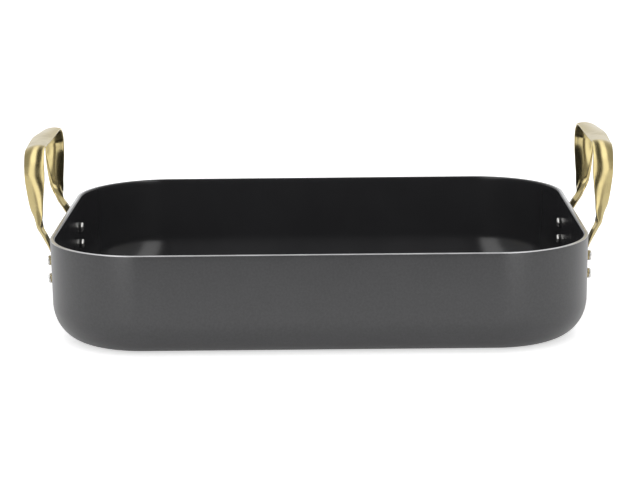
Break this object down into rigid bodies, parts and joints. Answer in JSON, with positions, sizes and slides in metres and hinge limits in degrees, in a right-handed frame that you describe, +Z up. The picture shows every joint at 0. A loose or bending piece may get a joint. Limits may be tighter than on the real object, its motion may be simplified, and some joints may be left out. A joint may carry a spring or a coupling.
{
  "type": "roasting pan",
  "caption": "Rectangular roasting pan with rounded corners, upright walls and a riveted upright loop handle on each short end.",
  "frame": {"origin": "middle of the pan's underside, on the surface it stands on", "axes": "+X along the pan's length to the right handle, +Y across the pan to its far side, +Z up through the open top"},
  "size_m": [0.4458, 0.3, 0.1384],
  "materials": {
    "anodised_aluminium": "hard-anodised matte charcoal outside, glossy black non-stick inside, bare metal on the trimmed rim",
    "brass": "polished, slightly worn",
    "rivet_steel": "satin silver"
  },
  "bodies": {
    "root": {"pan_body": "anodised_aluminium", "handle_left": "brass", "handle_right": "brass", "rivet_left_near_upper": "rivet_steel", "rivet_left_near_lower": "rivet_steel", "rivet_left_far_upper": "rivet_steel", "rivet_left_far_lower": "rivet_steel", "rivet_right_near_upper": "rivet_steel", "rivet_right_near_lower": "rivet_steel", "rivet_right_far_upper": "rivet_steel", "rivet_right_far_lower": "rivet_steel"}
  },
  "joints": []
}
